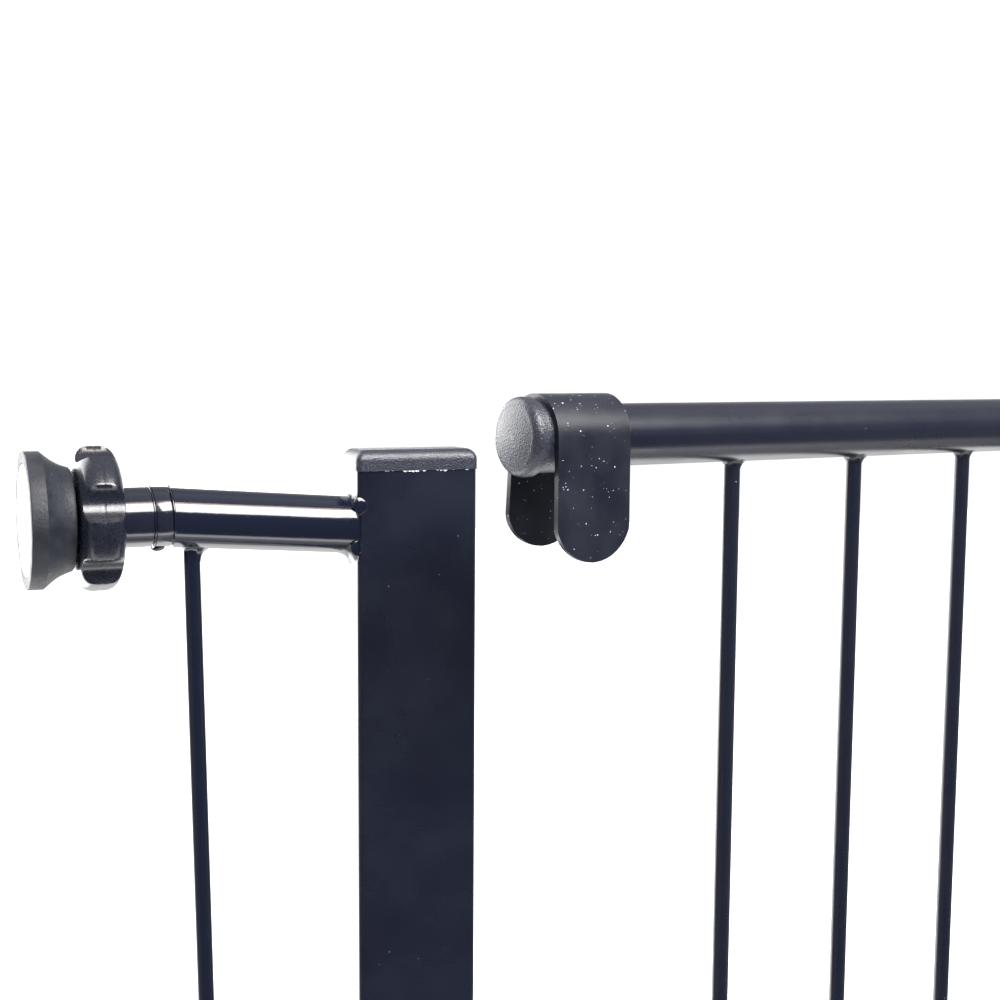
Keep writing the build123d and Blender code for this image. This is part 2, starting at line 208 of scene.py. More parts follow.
# Pressed sheet with a thin satin coat: dusty, with small clusters of pale specks
def saddlePowderCoat():
    # base colour and both wear tones: black with a painted navy tint, standing in for a bluish haze of stray
    # light
    material, tree, shader, place = startMaterial("satin powder-coated sheet", "#10131D", 0.34, 1.42)
    tooth = addNode(tree, "TexNoise", {**sized(place, 0.4 * mm), "Detail": 3.0})
    cloud = addNode(tree, "TexNoise", {**sized(place, 9 * mm), "Detail": 3.0})
    patch = addNode(tree, "TexNoise", {**sized(place, 7 * mm), "Detail": 1.0})   # where specks gather
    tree.links.new(addNode(tree, "MapRange", between(cloud, 0.3, 0.7, 0.28, 0.42)), shader["Roughness"])
    tree.links.new(addNode(tree, "Bump", {"Height": tooth, "Distance": 0.016 * mm}), shader["Normal"])
    worn = addNode(tree, "MapRange", between(cloud, 0.35, 0.7))
    tone = addNode(tree, "Mix", twoTones(worn, "#0D1019", "#12151F"), 2, data_type="RGBA")
    coarse = dustMask(tree, place, 2.0 * mm, 0.24 * mm, 0.34)
    clusters = addNode(tree, "Math", {0: dustMask(tree, place, 0.9 * mm, 0.15 * mm, 0.5),
                                      1: addNode(tree, "MapRange", between(patch, 0.50, 0.6))},
                       operation="MULTIPLY")
    dusty = addNode(tree, "Mix", twoTones(coarse, tone, "#A3A8BC"), 2, data_type="RGBA")
    specks = twoTones(clusters, dusty, "#B9BECF")
    tree.links.new(addNode(tree, "Mix", specks, 2, data_type="RGBA"), shader["Base Color"])
    return material


# Polypropylene caps from a spark-eroded mould: a leathery grain that breaks up the sheen.
# The real grain is about 0.3 mm; it is drawn at about twice that, because it would not show otherwise.
def grainedPlastic():
    # base colour and both grain tones: near-black with a painted navy tint, standing in for a bluish haze of
    # stray light
    material, tree, shader, place = startMaterial("grained polypropylene", "#1C1E28", 0.48, 1.49)
    grain = addNode(tree, "TexVoronoi", {**sized(place, 0.6 * mm), "Smoothness": 0.2}, "Distance",
                    feature="SMOOTH_F1")
    fine = addNode(tree, "TexNoise", {**sized(place, 0.5 * mm), "Detail": 3.0, "Roughness": 0.6})
    coarse = addNode(tree, "Bump", {"Height": grain, "Distance": 0.08 * mm})
    tree.links.new(addNode(tree, "Bump", {"Height": fine, "Distance": 0.11 * mm, "Normal": coarse}),
                   shader["Normal"])
    tree.links.new(addNode(tree, "MapRange", between(fine, 0.3, 0.7, 0.28, 0.44)), shader["Roughness"])
    share = addNode(tree, "MapRange", between(fine, 0.35, 0.65))
    tree.links.new(addNode(tree, "Mix", twoTones(share, "#14161F", "#282A36"), 2, data_type="RGBA"),
                   shader["Base Color"])
    return material


# Nylon from a polished mould: deep gloss, faint flow lines
def glossNylon():
    # base colour: black with a painted navy tint, standing in for a bluish haze of stray light
    material, tree, shader, place = startMaterial("gloss moulded nylon", "#11141F", 0.12, 1.53)
    flow = addNode(tree, "TexNoise", sized(place, 3.0 * mm))
    tree.links.new(addNode(tree, "MapRange", between(flow, 0.3, 0.7, 0.09, 0.16)), shader["Roughness"])
    tree.links.new(addNode(tree, "Bump", {"Height": flow, "Distance": 0.02 * mm}), shader["Normal"])
    return material


# Moulded ABS handwheel: half-gloss skin with fine scuffs from fingers
def mouldedAbs():
    # base colour and both scuff tones: black with a painted navy tint, standing in for a bluish haze of
    # stray light
    material, tree, shader, place = startMaterial("moulded ABS", "#0F121C", 0.24, 1.53)
    scuffs = addNode(tree, "TexNoise", {**sized(place, 0.7 * mm), "Detail": 4.0, "Roughness": 0.65})
    cloud = addNode(tree, "TexNoise", sized(place, 8 * mm))
    handled = addNode(tree, "MapRange", between(cloud, 0.3, 0.7, 0.8, 1.2))
    both = addNode(tree, "Math", {0: scuffs, 1: handled}, operation="MULTIPLY")
    tree.links.new(addNode(tree, "MapRange", between(both, 0.35, 0.65, 0.20, 0.32)), shader["Roughness"])
    tree.links.new(addNode(tree, "Bump", {"Height": scuffs, "Distance": 0.006 * mm}), shader["Normal"])
    share = addNode(tree, "MapRange", between(scuffs, 0.4, 0.7))
    tree.links.new(addNode(tree, "Mix", twoTones(share, "#0D1019", "#151823"), 2, data_type="RGBA"),
                   shader["Base Color"])
    return material


# Moulded rubber: dull bloom, mottled, with pinholes
def mouldedRubber():
    # base colour and both bloom tones: black with a painted navy tint, standing in for a bluish haze of
    # stray light
    material, tree, shader, place = startMaterial("moulded rubber", "#11141D", 0.58, 1.46)
    bloom = addNode(tree, "TexNoise", {**sized(place, 5 * mm), "Detail": 4.0, "Roughness": 0.6})
    fine = addNode(tree, "TexNoise", {**sized(place, 1.1 * mm), "Detail": 3.0, "Roughness": 0.6})
    tree.links.new(addNode(tree, "MapRange", between(bloom, 0.3, 0.7, 0.48, 0.66)), shader["Roughness"])
    broad = addNode(tree, "Bump", {"Height": bloom, "Distance": 0.08 * mm})
    tree.links.new(addNode(tree, "Bump", {"Height": fine, "Distance": 0.13 * mm, "Normal": broad}),
                   shader["Normal"])
    share = addNode(tree, "MapRange", between(bloom, 0.35, 0.7))
    tone = addNode(tree, "Mix", twoTones(share, "#0B0E16", "#171A25"), 2, data_type="RGBA")
    dust = dustMask(tree, place, 3.4 * mm, 0.25 * mm, 0.10)
    tree.links.new(addNode(tree, "Mix", twoTones(dust, tone, "#747A90"), 2, data_type="RGBA"),
                   shader["Base Color"])
    return material


# Rubber disc let into the pad. Its pale, chalky colour is painted reflection: it stands in for the bright
# backdrop mirrored in the face. The painted reflection is unevenly mottled
def gripFacePaintedReflection():
    # the pale base colour is painted reflection of the bright backdrop
    material, tree, shader, place = startMaterial("grip disc with painted reflection", "#C9CCD6", 0.5, 1.5)
    fine = addNode(tree, "TexNoise", {**sized(place, 0.6 * mm), "Detail": 3.0})
    reflectionMottle = addNode(tree, "TexNoise", {**sized(place, 6 * mm), "Detail": 3.0})
    tree.links.new(addNode(tree, "Bump", {"Height": fine, "Distance": 0.03 * mm}), shader["Normal"])
    share = addNode(tree, "MapRange", between(reflectionMottle, 0.35, 0.7))
    # two pale tones of the painted reflection, mixed unevenly
    tree.links.new(addNode(tree, "Mix", twoTones(share, "#BEC2CE", "#D9DBE2"), 2, data_type="RGBA"),
                   shader["Base Color"])
    return material


# Zinc-plated steel: cool grey metal, slightly hazy
def zincSteel():
    material, tree, shader, place = startMaterial("zinc-plated steel", "#A7A9A6", 0.32, metallic=1.0)
    haze = addNode(tree, "TexNoise", {**sized(place, 2.5 * mm), "Detail": 4.0, "Roughness": 0.6})
    tree.links.new(addNode(tree, "MapRange", between(haze, 0.3, 0.7, 0.24, 0.42)), shader["Roughness"])
    tree.links.new(addNode(tree, "Bump", {"Height": haze, "Distance": 0.01 * mm}), shader["Normal"])
    return material


# Torn steel where the coat has chipped off: its grit scatters all light, so it is drawn pale and matt
def bareSteel():
    material, tree, shader, place = startMaterial("bare cut steel", "#F4F5F8", 0.45)
    grit = addNode(tree, "TexNoise", sized(place, 0.3 * mm))
    tree.links.new(addNode(tree, "Bump", {"Height": grit, "Distance": 0.05 * mm}), shader["Normal"])
    share = addNode(tree, "MapRange", between(grit, 0.35, 0.6))
    tree.links.new(addNode(tree, "Mix", twoTones(share, "#C8CCD6", "#FAFBFD"), 2, data_type="RGBA"),
                   shader["Base Color"])
    return material


finishes = {
    "bare_steel": bareSteel(),
    "frame_coat": glossPowderCoat(),
    "door_coat": satinPowderCoat(),
    "saddle_coat": saddlePowderCoat(),
    "cap_plastic": grainedPlastic(),
    "bush_nylon": glossNylon(),
    "ring_nylon": glossNylon(),
    "handwheel_plastic": mouldedAbs(),
    "pad_rubber": mouldedRubber(),
    "grip_disc": gripFacePaintedReflection(),
    "zinc_steel": zincSteel(),
}
flatCoat = postPowderCoat()
slotOf = {part["node"]: part["material_slot"] for part in frame["record"]["subparts"]}
for name, node in nodes.items():
    flat = name in ("left_post", "right_post", "sill_rail", "sill_keeper")
    material = flatCoat if flat else finishes[slotOf[name]]
    for slot in node.material_slots:
        slot.material = material
print("materials")


def mountFrame(corner):
    # axis height, side and a function from (distance outwards, radius, angle) to a place
    low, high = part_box(corner + "_handwheel")
    centre = (low + high) / 2
    side = 1 if centre.x > 0 else -1
    axisZ = sum(c.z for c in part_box(corner + "_wall_pad")) / 2

    def at(out, radius, angle):
        return Vector((side * out, -radius * cos(angle), axisZ + radius * sin(angle)))
    return side, at


def outerSpan(nodeName):
    # nearest and farthest distance of a node from the gate's middle, along X
    low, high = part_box(nodeName)
    return min(abs(low.x), abs(high.x)), max(abs(low.x), abs(high.x))


handwheel = {"radius": 22.5 * mm, "lobes": 6, "turn": 47.0, "lobeHalf": 15.5, "floor": 18.6 * mm,
             "bore": 5.06 * mm, "shape": 3.2, "power": 0.156, "around": 288, "across": 44,
             "partingWidth": 0.22 * mm, "partingDepth": 0.12 * mm, "boss": 9.6 * mm, "soft": 0.35 * mm}


def scallopRadius(angle):
    # radius of the lobed outline at an angle: a round cut between each pair of lobes
    w = handwheel
    pitch = 2 * pi / w["lobes"]
    fromLobe = (angle - radians(w["turn"]) + pitch / 2) % pitch - pitch / 2
    ridge = radians(w["lobeHalf"])
    half = w["radius"] * sin(pitch / 2 - ridge)
    depth = w["radius"] * cos(pitch / 2 - ridge) - w["floor"]
    cut = (half ** 2 + depth ** 2) / (2 * depth)
    centre = w["floor"] + cut
    off = pitch / 2 - abs(fromLobe)
    inside = cut ** 2 - (centre * sin(off)) ** 2
    return centre * cos(off) - sqrt(inside) if inside > 0 else 10 * w["radius"]


def softMin(a, b, blend):
    # smaller of two lengths, rounded over where they meet
    h = max(0.0, min(1.0, 0.5 + 0.5 * (b - a) / blend))
    return b * (1 - h) + a * h - blend * h * (1 - h)


def makeHandwheel(corner):
    w = handwheel
    side, at = mountFrame(corner)
    near, far = outerSpan(corner + "_handwheel")
    middle, half = (near + far) / 2, (far - near) / 2
    verts = []
    rows = []
    for i in range(w["across"] + 1):
        t = -cos(pi * i / w["across"])          # closer rows towards the two faces
        barrel = w["radius"] * max(0.0, 1 - abs(t) ** w["shape"]) ** w["power"]
        rows.append((t * half, max(barrel, w["boss"])))
    rows += [(half, w["bore"]), (-half, w["bore"])]
    for x, barrel in rows:
        for j in range(w["around"]):
            angle = 2 * pi * j / w["around"]
            r = barrel
            if barrel > w["boss"]:
                r = max(softMin(barrel, scallopRadius(-side * angle), w["soft"]), w["boss"])
                if abs(x) < w["partingWidth"]:
                    r -= w["partingDepth"] * (1 - abs(x) / w["partingWidth"])
            verts.append(at(middle + x, r, angle))
    piece = makePiece(corner + "_lobed_wheel", verts, gridFaces(len(rows), w["around"], True),
                      finishes["handwheel_plastic"], corner + "_handwheel", "handwheel_plastic")
    facesOut(piece)
    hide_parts(corner + "_handwheel")


def makeRound(name, at, profile, around, material, like, slotName, closed=True):
    # profile is a closed list of (distance outwards, radius)
    verts = [at(out, r, 2 * pi * j / around) for out, r in profile for j in range(around)]
    piece = makePiece(name, verts, gridFaces(len(profile), around, closed), material, like, slotName)
    facesOut(piece)
    return piece


def roundedCorners(points, radius, steps=4):
    # replaces each marked corner (third value true) by an arc
    out = []
    count = len(points)
    for i, (x, y, soft) in enumerate(points):
        if not soft:
            out.append((x, y))
            continue
        corner = Vector((x, y))
        before, after = Vector(points[i - 1][:2]), Vector(points[(i + 1) % count][:2])
        a, b = (before - corner).normalized(), (after - corner).normalized()
        start, end = corner + a * radius, corner + b * radius
        for k in range(steps + 1):
            t = k / steps
            out.append(tuple(start * (1 - t) ** 2 + corner * 2 * t * (1 - t) + end * t ** 2))
    return out


wallPad = {"neck": 16.0 * mm, "rim": 21.2 * mm, "band": 4.8 * mm, "recess": 17.5 * mm, "depth": 1.2 * mm,
           "edge": 0.5 * mm, "flareSteps": 16, "hollow": 0.16, "around": 128, "bore": 4.9 * mm,
           "bevel": 0.25 * mm, "bevelAbove": 14}


def makeWallPad(corner):
    w = wallPad
    side, at = mountFrame(corner)
    near, far = outerSpan(corner + "_wall_pad")
    start = far - w["band"]
    points = [(near, w["bore"], False), (near, w["neck"], True)]
    for i in range(1, w["flareSteps"]):
        t = i / w["flareSteps"]
        bow = w["hollow"] * sin(pi * t) * (w["rim"] - w["neck"])     # the flare is slightly hollow
        points.append((near + (start - near) * t, w["neck"] + (w["rim"] - w["neck"]) * t - bow, False))
    points += [(start, w["rim"], False), (far, w["rim"], True), (far, w["recess"], True),
               (far - w["depth"], w["recess"], False), (far - w["depth"], w["bore"], False)]
    profile = roundedCorners(points, w["edge"])
    piece = makeRound(corner + "_flared_pad", at, profile, w["around"], finishes["pad_rubber"],
                      corner + "_wall_pad", "pad_rubber")
    bevelEdges(piece, w["bevel"], 2, w["bevelAbove"])
    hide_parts(corner + "_wall_pad")


gripDisc = {"ring": 13.6 * mm, "groove": 0.7 * mm, "deep": 0.45 * mm, "around": 96, "dish": 0.15 * mm,
            "dishFrom": 3 * mm, "edge": 0.3 * mm, "centre": 0.01 * mm}


def makeGripDisc(corner):
    g = gripDisc
    side, at = mountFrame(corner)
    low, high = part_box(corner + "_pad_disc")
    near, far = outerSpan(corner + "_pad_disc")
    radius = (high.z - low.z) / 2
    profile = [(near, g["centre"]), (near, radius), (far - g["edge"], radius), (far, radius - g["edge"]),
               (far, g["ring"] + g["groove"]), (far - g["deep"], g["ring"] + 0.7 * g["groove"]),
               (far - g["deep"], g["ring"] + 0.3 * g["groove"]), (far, g["ring"]),
               (far - g["dish"], g["dishFrom"]), (far - g["dish"], g["centre"])]
    piece = makeRound(corner + "_grip_face", at, profile, g["around"], finishes["grip_disc"],
                      corner + "_pad_disc", "grip_disc")
    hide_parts(corner + "_pad_disc")


spindle = {"major": 5.0 * mm, "minor": 4.15 * mm, "pitch": 1.5 * mm, "perTurn": 6, "around": 40}


def makeSpindle(corner):
    s = spindle
    side, at = mountFrame(corner)
    low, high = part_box(corner + "_spindle")
    near, far = outerSpan(corner + "_spindle")
    flat = (high.y - low.y) / 2
    rows = ceil((far - near) / s["pitch"] * s["perTurn"])
    verts = []
    for i in range(rows + 1):
        out = near + (far - near) * i / rows
        endTaper = min(1.0, min(i, rows - i) / s["perTurn"])
        for j in range(s["around"]):
            angle = 2 * pi * j / s["around"]
            phase = (out / s["pitch"] - side * j / s["around"]) % 1
            ridge = 1 - abs(2 * phase - 1)                      # triangular thread form
            r = s["minor"] + (s["major"] - s["minor"]) * ridge * endTaper
            across = abs(cos(angle))
            verts.append(at(out, min(r, flat / across if across > 0.01 else r), angle))
    faces = gridFaces(rows + 1, s["around"])
    faces.append(tuple(range(s["around"])))
    faces.append(tuple(reversed(range(rows * s["around"], (rows + 1) * s["around"]))))
    piece = makePiece(corner + "_threaded_rod", verts, faces, finishes["zinc_steel"],
                      corner + "_spindle", "zinc_steel")
    facesOut(piece)
    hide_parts(corner + "_spindle")


for corner in corners:
    makeHandwheel(corner)
    makeWallPad(corner)
    makeGripDisc(corner)
    makeSpindle(corner)
print("pressure mounts")


# lengths of the beads at the bars are in millimetres, and lean is how much fuller one side is
bead = {"around": 64, "section": 8, "sunk": 0.08 * mm, "lump": 0.30, "lumpSize": 1.6, "ripple": 0.10,
        "rippleSize": 5, "hollow": 1.8, "tuck": 6}
doorWeld = {"reach": 2.6, "reachLean": 0.7, "spread": 1.9, "spreadLean": 0.5}
sideWeld = {"reach": 3.2, "reachLean": 1.5, "spread": 2.4, "spreadLean": 1.2}
stubWeld = {"under": -0.2, "power": 1.6, "reach": 0.9, "reachBelow": 4.4, "reachAbove": 2.4,
            "spread": 0.4, "spreadBelow": 4.2, "spreadAbove": 1.4}
dab = {"rings": 7, "around": 28, "past": 1.12, "lump": 0.28, "lumpSize": 1.3, "proud": 0.75 * mm,
       "off": 0.3 * mm}
# for each dab beside the post: how far it lies inwards, its lift, its height and its width (mm)
stubDabs = ((1.0, 6.9, 2.9, 2.5), (-0.4, -6.6, 2.9, 2.0))


def ontoTube(axis, radius):
    # how far up a point must go to reach the skin of a tube whose axis passes the weld's origin
    def land(offset, up):
        across = offset - axis * offset.dot(axis)
        climb = up - axis * up.dot(axis)
        a, b, c = climb.dot(climb), 2 * across.dot(climb), across.dot(across) - radius ** 2
        return (-b + sqrt(max(b * b - 4 * a * c, 0.0))) / (2 * a)
    return land


def ontoFace(normal):
    return lambda offset, up: -offset.dot(normal) / up.dot(normal)


def roundWeld(name, origin, up, side, radius, land, reach, spread, like, seed):
    # a lumpy hollow fillet round a bar: up runs along the bar, away from what it is welded to, angles are
    # counted round it from side, and reach and spread give the bead's height and width at an angle
    up = up.normalized()
    east = (side - up * side.dot(up)).normalized()
    north = up.cross(east)
    verts = []
    count = bead["section"]
    for i in range(count + 2):
        for j in range(bead["around"]):
            angle = 2 * pi * j / bead["around"]
            along, across = cos(angle), sin(angle)
            broad = Vector((along * bead["lumpSize"], across * bead["lumpSize"], seed))
            lump = noise.noise(broad) * bead["lump"]
            fine = Vector((along * bead["rippleSize"], across * bead["rippleSize"], seed + 9))
            ripple = noise.noise(fine) * bead["ripple"]
            grow = 1 + 2 * lump + ripple
            t = i / count
            outward, height = -bead["tuck"] * bead["sunk"], 0.0     # the last ring is tucked into the bar
            if i <= count:
                outward = spread(angle) * grow * t ** bead["hollow"]
                height = reach(angle) * grow * (1 - t) ** bead["hollow"]
            offset = (east * along + north * across) * (radius - bead["sunk"] / 2 + outward)
            base = land(offset, up) - bead["sunk"]
            verts.append(origin + offset + up * (base + height))
    slotName = slotOf[like]
    faces = gridFaces(count + 2, bead["around"], True)
    piece = makePiece(name, verts, faces, finishes[slotName], like, slotName)
    facesOut(piece)


def weldDab(name, centre, normal, tall, wide, proud, like, seed):
    # a drop of weld that ran onto a face
    up = Vector((0, 0, 1)) if abs(normal.z) < 0.5 else Vector((1, 0, 0))
    side = up.cross(normal)
    verts = [centre + normal * proud]
    rings, around = dab["rings"], dab["around"]
    for i in range(1, rings + 1):
        bend = pi / 2 * i / rings * dab["past"]
        for j in range(around):
            angle = 2 * pi * j / around
            spot = Vector((cos(angle) * dab["lumpSize"], sin(angle) * dab["lumpSize"], seed + 0.2 * i))
            lump = 1 + dab["lump"] * noise.noise(spot)
            flat = (up * (tall * cos(angle)) + side * (wide * sin(angle))) * sin(bend) * lump
            verts.append(centre + flat + normal * (proud * cos(bend)))
    faces = [(0, 1 + j, 1 + (j + 1) % around) for j in range(around)]
    faces += [tuple(v + 1 for v in face) for face in gridFaces(rings, around)]
    slotName = slotOf[like]
    piece = makePiece(name, verts, faces, finishes[slotName], like, slotName)
    facesOut(piece)


tubeRadius = (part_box("door_top_rail")[1].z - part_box("door_top_rail")[0].z) / 2
barRadius = (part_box("door_bar_1")[1].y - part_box("door_bar_1")[0].y) / 2


def centreOf(nodeName):
    low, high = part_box(nodeName)
    return (low + high) / 2


doorAlong = centreOf("door_bar_7") - centreOf("door_bar_1")
doorAlong.z = 0
doorAlong.normalize()
doorFront = doorAlong.cross(Vector((0, 0, -1)))
doorFront = doorFront if doorFront.y < 0 else -doorFront


def weldDoorBars():
    bars = sorted(n for n in nodes if n.startswith("door_bar_"))
    for index, bar in enumerate(bars):
        spot = centreOf(bar)
        for rail, end, up in (("door_top_rail", "head", -1), ("door_bottom_rail", "foot", 1)):
            origin = Vector((spot.x, spot.y, centreOf(rail).z))
            # the bead is fuller on the side the welder worked from
            roundWeld(f"{bar}_{end}_weld", origin, Vector((0, 0, up)), doorAlong, barRadius,
                      ontoTube(doorAlong, tubeRadius),
                      lambda a: mm * (doorWeld["reach"] - doorWeld["reachLean"] * cos(a)),
                      lambda a: mm * (doorWeld["spread"] - doorWeld["spreadLean"] * cos(a)),
                      bar, index * 3.1 + up)


def stubAxis(corner):
    # the stub's axis: where it meets the post, and its direction outwards
    low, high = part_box(corner + "_stub_tube")
    side = 1 if low.x > 0 else -1
    near = outerSpan(("right" if side > 0 else "left") + "_post")[1]
    far = outerSpan(corner + "_stub_tube")[1]
    rise = atan2(high.z - low.z - 2 * tubeRadius, far - near)
    axis = Vector((side * cos(rise), 0, sin(rise)))
    top = Vector((side * far, 0, high.z - tubeRadius))
    return top - axis * ((far - near) / cos(rise)), axis, side


def weldStubs():
    def size(kind, angle):
        # angle runs from straight up; the bead is thick above and below, and thin at the front and back
        where = "Below" if cos(angle) < stubWeld["under"] else "Above"
        return mm * (stubWeld[kind] + stubWeld[kind + where] * abs(cos(angle)) ** stubWeld["power"])
    for index, corner in enumerate(corners):
        foot, axis, side = stubAxis(corner)
        outwards = Vector((side, 0, 0))
        roundWeld(corner + "_stub_weld", foot, axis, Vector((0, 0, 1)), tubeRadius, ontoFace(outwards),
                  lambda a: size("reach", a), lambda a: size("spread", a),
                  corner + "_stub_tube", 20.3 + index)
        post = ("right" if side > 0 else "left") + "_post"
        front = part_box(post)[0].y
        for number, (inwards, lift, tall, wide) in enumerate(stubDabs):
            centre = Vector((foot.x - side * inwards * mm, front + dab["off"], foot.z + lift * mm))
            weldDab(f"{corner}_weld_dab_{number + 1}", centre, Vector((0, -1, 0)), tall * mm, wide * mm,
                    dab["proud"], corner + "_stub_tube", 7.7 * index + number)


def weldSideBars():
    for index, side in enumerate(("left", "right")):
        bar = f"{side}_side_bar"
        low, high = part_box(bar)
        # the bar leans: its head is further out than its foot
        sign = 1 if low.x > 0 else -1
        head = Vector((sign * (max(abs(low.x), abs(high.x)) - barRadius), 0, high.z))
        foot = Vector((sign * (min(abs(low.x), abs(high.x)) + barRadius), 0, low.z))
        lean = (head - foot).normalized()
        for corner, spot, way in ((f"upper_{side}", head, -1), (f"lower_{side}", foot, 1)):
            start, axis, _ = stubAxis(corner)
            up = lean * way
            origin = start + axis * ((spot.x - start.x) / axis.x)
            roundWeld(f"{corner}_bar_weld", origin, up, axis, barRadius, ontoTube(axis, tubeRadius),
                      lambda a: mm * (sideWeld["reach"] - sideWeld["reachLean"] * cos(a)),
                      lambda a: mm * (sideWeld["spread"] - sideWeld["spreadLean"] * cos(a)),
                      bar, 41.0 + index * 2 + way)


weldDoorBars()
weldStubs()
weldSideBars()
print("weld beads")


collarRing = {"band": 9.55 * mm, "lip": 10.0 * mm, "lipWide": 0.42 * mm, "groove": 8.9 * mm,
              "grooveWide": 0.35 * mm, "skew": 0.42 * mm, "bore": 8.65 * mm, "around": 112, "gap": 8.5,
              "inset": 0.1 * mm, "edge": 0.12 * mm}
# the pinched ends stand out below as one small nub: its place, angle, height, width and depth
clipNub = {"in": 2.4 * mm, "sunk": 0.4 * mm, "turn": -92, "tall": 2.3 * mm, "wide": 1.9 * mm,
           "proud": 2.0 * mm}


def makeCollarRing(corner):
    # a split clip with a thin lip at each side, pushed on a little askew
    c = collarRing
    side, at = mountFrame(corner)
    near, far = outerSpan(corner + "_collar_ring")
    first, last = near + c["inset"], far - c["inset"]
    ends = [first, first + c["lipWide"], last - c["lipWide"], last]
    profile = roundedCorners([
        (ends[0], c["bore"], False), (ends[0], c["lip"], True), (ends[1], c["lip"], True),
        (ends[1], c["groove"], False), (ends[1] + c["grooveWide"], c["groove"], False),
        (ends[1] + c["grooveWide"], c["band"], True), (ends[2] - c["grooveWide"], c["band"], True),
        (ends[2] - c["grooveWide"], c["groove"], False), (ends[2], c["groove"], False),
        (ends[2], c["lip"], True), (ends[3], c["lip"], True), (ends[3], c["bore"], False)], c["edge"], 2)
    verts = []
    start, sweep = radians(-90 + c["gap"]), radians(360 - 2 * c["gap"])
    columns = c["around"] + 1
    for out, radius in profile:
        for j in range(columns):
            angle = start + sweep * j / c["around"]
            verts.append(at(out + c["skew"] * sin(angle), radius, angle))
    rows = len(profile)
    faces = [(i * columns + j, i * columns + j + 1, ((i + 1) % rows) * columns + j + 1,
              ((i + 1) % rows) * columns + j) for i in range(rows) for j in range(columns - 1)]
    faces.append(tuple(i * columns for i in range(rows)))
    faces.append(tuple((i + 1) * columns - 1 for i in reversed(range(rows))))
    piece = makePiece(corner + "_split_clip", verts, faces, finishes["ring_nylon"], corner + "_collar_ring",
                      "ring_nylon")
    facesOut(piece)
    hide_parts(corner + "_collar_ring")
    n = clipNub
    nub = at(far - n["in"], c["band"] - n["sunk"], radians(n["turn"]))
    weldDab(corner + "_clip_nub", nub, Vector((0, 0, -1)), n["tall"], n["wide"], n["proud"],
            corner + "_collar_ring", 3.3)


for corner in corners:
    makeCollarRing(corner)
print("collar rings")


saddle = {"sheet": 1.9 * mm, "half": 13.0 * mm, "tip": 13.6 * mm, "splay": 0.085, "curve": 26, "leg": 18,
          "lateral": 10, "rearStep": 2.2 * mm, "crowd": 1.7, "least": 0.35 * mm, "edge": 0.35 * mm,
          "edgeAbove": 50}


def makeSaddle(nodeName, rail):
    # a strip of sheet bent over the rail, with rounded ends; the rear leg is a little shorter and splayed
    s = saddle
    low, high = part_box(nodeName)
    centre = (low + high) / 2
    axisZ = centreOf(rail).z
    outer = high.z - axisZ
    legLength = axisZ - low.z
    radius = outer - s["sheet"] / 2
    path = []           # place along the bent strip, its normal, distance to its end
    for way, length in ((1, legLength), (-1, legLength - s["rearStep"])):
        leg = []
        for i in range(s["leg"] + 1):
            down = length * (1 - (1 - i / s["leg"]) ** s["crowd"])      # closer rows towards the tip
            lean = s["splay"] * down if way < 0 else 0.0
            leg.append((way * (radius + lean), -down, way, 0.0, length - down))
        path.append(leg)
    front, rear = path
    bend = []
    for i in range(1, s["curve"]):
        angle = pi * i / s["curve"]
        bend.append((radius * cos(angle), radius * sin(angle), cos(angle), sin(angle), 1.0))
    stations = list(reversed(front)) + bend + rear

    def halfWidth(toEnd):
        # half the strip's width at a distance from its rounded end
        inside = s["tip"] ** 2 - max(s["tip"] - toEnd, 0.0) ** 2
        return min(s["half"], sqrt(max(inside, 0.0)))
    verts = []
    columns = s["lateral"] + 1
    for layer in (1, -1):
        for y, z, ny, nz, toEnd in stations:
            half = max(halfWidth(toEnd), s["least"])
            push = layer * s["sheet"] / 2
            for k in range(columns):
                lateral = half * (2 * k / s["lateral"] - 1)
                spot = Vector((centre.x, centre.y, axisZ + z + nz * push))
                verts.append(spot + doorAlong * lateral + doorFront * (y + ny * push))
    rows = len(stations)
    faces = []
    for i in range(rows - 1):
        for k in range(columns - 1):
            a = i * columns + k
            faces.append((a, a + 1, a + 1 + columns, a + columns))
            b = a + rows * columns
            faces.append((b, b + columns, b + 1 + columns, b + 1))
    border = [k for k in range(columns)] + [(i + 1) * columns - 1 for i in range(1, rows)]
    border += [(rows - 1) * columns + k for k in reversed(range(columns - 1))]
    border += [i * columns for i in reversed(range(1, rows - 1))]
    for here, there in zip(border, border[1:] + border[:1]):
        faces.append((here, here + rows * columns, there + rows * columns, there))
    piece = makePiece(nodeName + "_strip", verts, faces, finishes["saddle_coat"], nodeName, "saddle_coat")
    facesOut(piece)
    bevelEdges(piece, s["edge"], 3, s["edgeAbove"])
    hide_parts(nodeName)


makeSaddle("latch_saddle", "door_top_rail")
makeSaddle("lower_saddle", "door_bottom_rail")
print("saddles")


# bare metal shows where the coat chipped off below the caps: start along the post, length, height (mm)
chips = [(9.2, 1.6, 0.3), (11.4, 1.0, 0.25), (15.6, 1.6, 0.75), (17.4, 2.1, 0.85), (19.7, 1.5, 0.8),
         (22.4, 1.3, 0.6), (27.2, 1.2, 0.4), (28.6, 1.0, 0.5), (29.9, 1.4, 0.6), (33.0, 0.8, 0.25),
         (37.6, 1.5, 0.45)]
chipShape = {"proud": 0.03 * mm, "above": 0.05 * mm, "steps": 8, "rightScale": 0.93, "least": 0.55,
             "ragged": 0.45, "round": 0.4, "tall": 1.3, "apart": 3.1, "along": 0.9}


